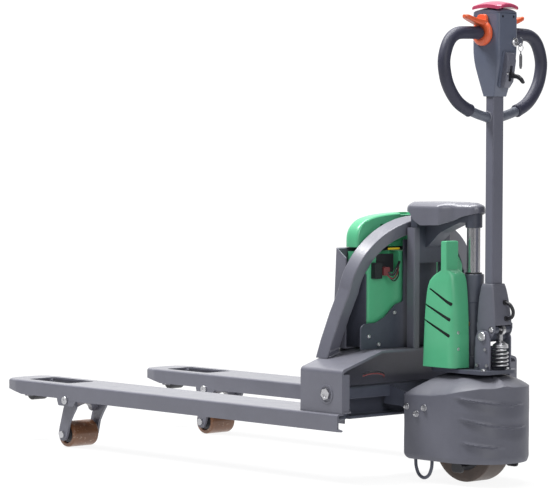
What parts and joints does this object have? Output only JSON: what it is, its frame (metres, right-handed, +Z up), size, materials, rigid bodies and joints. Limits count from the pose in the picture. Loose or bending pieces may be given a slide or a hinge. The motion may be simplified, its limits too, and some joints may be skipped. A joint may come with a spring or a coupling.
{
  "type": "electric pallet truck",
  "caption": "Powered pallet truck with a lifting fork frame, folding load wheels, a steered drive wheel and a tilting tiller with a loop handle.",
  "frame": {"origin": "middle of the bounding box at floor level, forks raised", "axes": "+X from the fork tips to the operator's end, +Y to the truck's far side, +Z up"},
  "size_m": [1.713, 0.695, 1.236],
  "materials": {
    "frame_paint": "satin grey paint",
    "cover_plastic": "moulded grey plastic with a fine grain",
    "tube_paint": "satin grey paint",
    "dark_steel": "dark satin paint",
    "wheel_metal": "painted casting",
    "urethane": "brown polyurethane, slightly glossy",
    "roller_plastic": "black nylon",
    "green_plastic": "green moulded plastic, half gloss",
    "orange_plastic": "orange moulded plastic",
    "red_plastic": "red moulded plastic",
    "grip_rubber": "soft dark sleeve",
    "bar_paint": "dark painted tube",
    "black_plastic": "black plastic",
    "zinc": "zinc plated",
    "chrome": "hard chrome"
  },
  "bodies": {
    "base": {"base_frame": "dark_steel", "drive_cover": "cover_plastic", "cover_bolt_1": "zinc", "cover_bolt_2": "zinc", "cover_bolt_3": "zinc"},
    "steer_unit": {"drive_fork": "dark_steel", "steer_head": "frame_paint", "lift_cylinder": "dark_steel", "pump_unit": "dark_steel", "pump_cover": "green_plastic", "tiller_spring": "zinc", "tiller_pivot_pin": "zinc"},
    "drive_wheel": {"drive_wheel_hub": "wheel_metal", "drive_wheel_tyre": "urethane"},
    "spring_seat": {"spring_seat": "zinc"},
    "tiller": {"tiller_base": "dark_steel", "eye_pin": "zinc", "tiller_boot": "cover_plastic", "tiller_tube": "tube_paint", "tiller_cable": "black_plastic", "control_head": "frame_paint", "head_lid": "frame_paint", "lever_housing": "black_plastic", "key_switch": "zinc", "loop_bar_left": "bar_paint", "loop_bar_right": "bar_paint", "grip_left": "grip_rubber", "grip_right": "grip_rubber"},
    "paddle_left": {"thumb_paddle_left": "orange_plastic"},
    "paddle_right": {"thumb_paddle_right": "orange_plastic"},
    "belly_button": {"belly_button": "red_plastic"},
    "finger_lever": {"finger_lever": "black_plastic"},
    "key": {"key": "zinc"},
    "key_tag": {"key_tag": "zinc"},
    "chassis": {"chassis_base": "frame_paint", "arch_frame": "frame_paint", "battery_box": "frame_paint", "battery_pack": "green_plastic", "battery_lid": "green_plastic", "mast_panel": "dark_steel", "mast_post_left": "frame_paint", "mast_post_right": "frame_paint", "head_arm": "dark_steel", "hood": "frame_paint", "ram_rod": "chrome", "fork_left": "frame_paint", "fork_right": "frame_paint", "heel_pin_left": "zinc", "heel_pin_right": "zinc", "bracket_pin_left": "zinc", "bracket_pin_right": "zinc"},
    "rocker": {"rocker": "dark_steel"},
    "push_rod_left": {"push_rod_left": "dark_steel"},
    "load_bracket_left": {"load_bracket_left": "frame_paint"},
    "load_wheel_left": {"load_wheel_left": "urethane"},
    "tip_roller_left": {"tip_roller_left": "roller_plastic"},
    "push_rod_right": {"push_rod_right": "dark_steel"},
    "load_bracket_right": {"load_bracket_right": "frame_paint"},
    "load_wheel_right": {"load_wheel_right": "urethane"},
    "tip_roller_right": {"tip_roller_right": "roller_plastic"}
  },
  "joints": [
    {"name": "lift", "type": "slide", "parent": "base", "child": "chassis", "axis": [0, 0, 1], "range_m": [-0.105, 0]},
    {"name": "steer", "type": "hinge", "parent": "base", "child": "steer_unit", "pos_m": [0.6965, 0, 0.25], "axis": [0, 0, -1], "range_deg": [-90, 90]},
    {"name": "drive_wheel_spin", "type": "hinge", "parent": "steer_unit", "child": "drive_wheel", "pos_m": [0.6965, 0, 0.105], "axis": [0, 1, 0], "continuous": true},
    {"name": "tiller_tilt", "type": "hinge", "parent": "steer_unit", "child": "tiller", "pos_m": [0.7665, 0, 0.38], "axis": [0, 1, 0], "range_deg": [0, 75], "stiffness_Nm_per_rad": 45, "springref_deg": -22.92, "deforming": ["tiller_spring"]},
    {"name": "seat_slide", "type": "slide", "parent": "steer_unit", "child": "spring_seat", "axis": [0, 0, 1], "range_m": [-0.035, 0]},
    {"name": "paddle_left_turn", "type": "hinge", "parent": "tiller", "child": "paddle_left", "pos_m": [0.7605, -0.044, 1.153], "axis": [0, 1, 0], "range_deg": [-25, 25], "stiffness_Nm_per_rad": 0.6},
    {"name": "paddle_right_turn", "type": "hinge", "parent": "tiller", "child": "paddle_right", "pos_m": [0.7605, 0.044, 1.153], "axis": [0, 1, 0], "range_deg": [-25, 25], "stiffness_Nm_per_rad": 0.6},
    {"name": "belly_press", "type": "slide", "parent": "tiller", "child": "belly_button", "axis": [0, 0, 1], "range_m": [-0.004, 0], "stiffness_N_per_m": 1500, "springref_m": 0.002},
    {"name": "finger_pull", "type": "hinge", "parent": "tiller", "child": "finger_lever", "pos_m": [0.8145, 0, 1.054], "axis": [0, 1, 0], "range_deg": [-12, 0], "stiffness_Nm_per_rad": 0.5, "springref_deg": 8.59},
    {"name": "key_turn", "type": "hinge", "parent": "tiller", "child": "key", "pos_m": [0.8175, 0.024, 1.13], "axis": [1, 0, 0], "range_deg": [-90, 0]},
    {"name": "tag_swing", "type": "hinge", "parent": "key", "child": "key_tag", "pos_m": [0.8325, 0.024, 1.1245], "axis": [1, 0, 0], "range_deg": [-35, 35]},
    {"name": "rocker_turn", "type": "hinge", "parent": "chassis", "child": "rocker", "pos_m": [0.4935, 0, 0.231], "axis": [0, 1, 0], "range_deg": [-35, 0]},
    {"name": "push_rod_left_slide", "type": "slide", "parent": "chassis", "child": "push_rod_left", "axis": [1, 0, 0], "range_m": [0, 0.0356]},
    {"name": "bracket_left_turn", "type": "hinge", "parent": "chassis", "child": "load_bracket_left", "pos_m": [-0.5565, -0.2625, 0.138], "axis": [0, 1, 0], "range_deg": [0, 72.5]},
    {"name": "load_wheel_left_spin", "type": "hinge", "parent": "load_bracket_left", "child": "load_wheel_left", "pos_m": [-0.5935, -0.2625, 0.0372], "axis": [0, 1, 0], "continuous": true},
    {"name": "tip_roller_left_spin", "type": "hinge", "parent": "chassis", "child": "tip_roller_left", "pos_m": [-0.7815, -0.2625, 0.139], "axis": [0, 1, 0], "continuous": true},
    {"name": "push_rod_right_slide", "type": "slide", "parent": "chassis", "child": "push_rod_right", "axis": [1, 0, 0], "range_m": [0, 0.0356]},
    {"name": "bracket_right_turn", "type": "hinge", "parent": "chassis", "child": "load_bracket_right", "pos_m": [-0.5565, 0.2625, 0.138], "axis": [0, 1, 0], "range_deg": [0, 72.5]},
    {"name": "load_wheel_right_spin", "type": "hinge", "parent": "load_bracket_right", "child": "load_wheel_right", "pos_m": [-0.5935, 0.2625, 0.0372], "axis": [0, 1, 0], "continuous": true},
    {"name": "tip_roller_right_spin", "type": "hinge", "parent": "chassis", "child": "tip_roller_right", "pos_m": [-0.7815, 0.2625, 0.139], "axis": [0, 1, 0], "continuous": true}
  ],
  "couplings": [
    {"joint": "seat_slide", "follows": "tiller_tilt", "m_per_rad": -0.026},
    {"joint": "rocker_turn", "follows": "lift", "rad_per_m": 5.685},
    {"joint": "push_rod_left_slide", "follows": "lift", "ratio": -0.336},
    {"joint": "bracket_left_turn", "follows": "lift", "rad_per_m": -11.968},
    {"joint": "push_rod_right_slide", "follows": "lift", "ratio": -0.336},
    {"joint": "bracket_right_turn", "follows": "lift", "rad_per_m": -11.968}
  ]
}
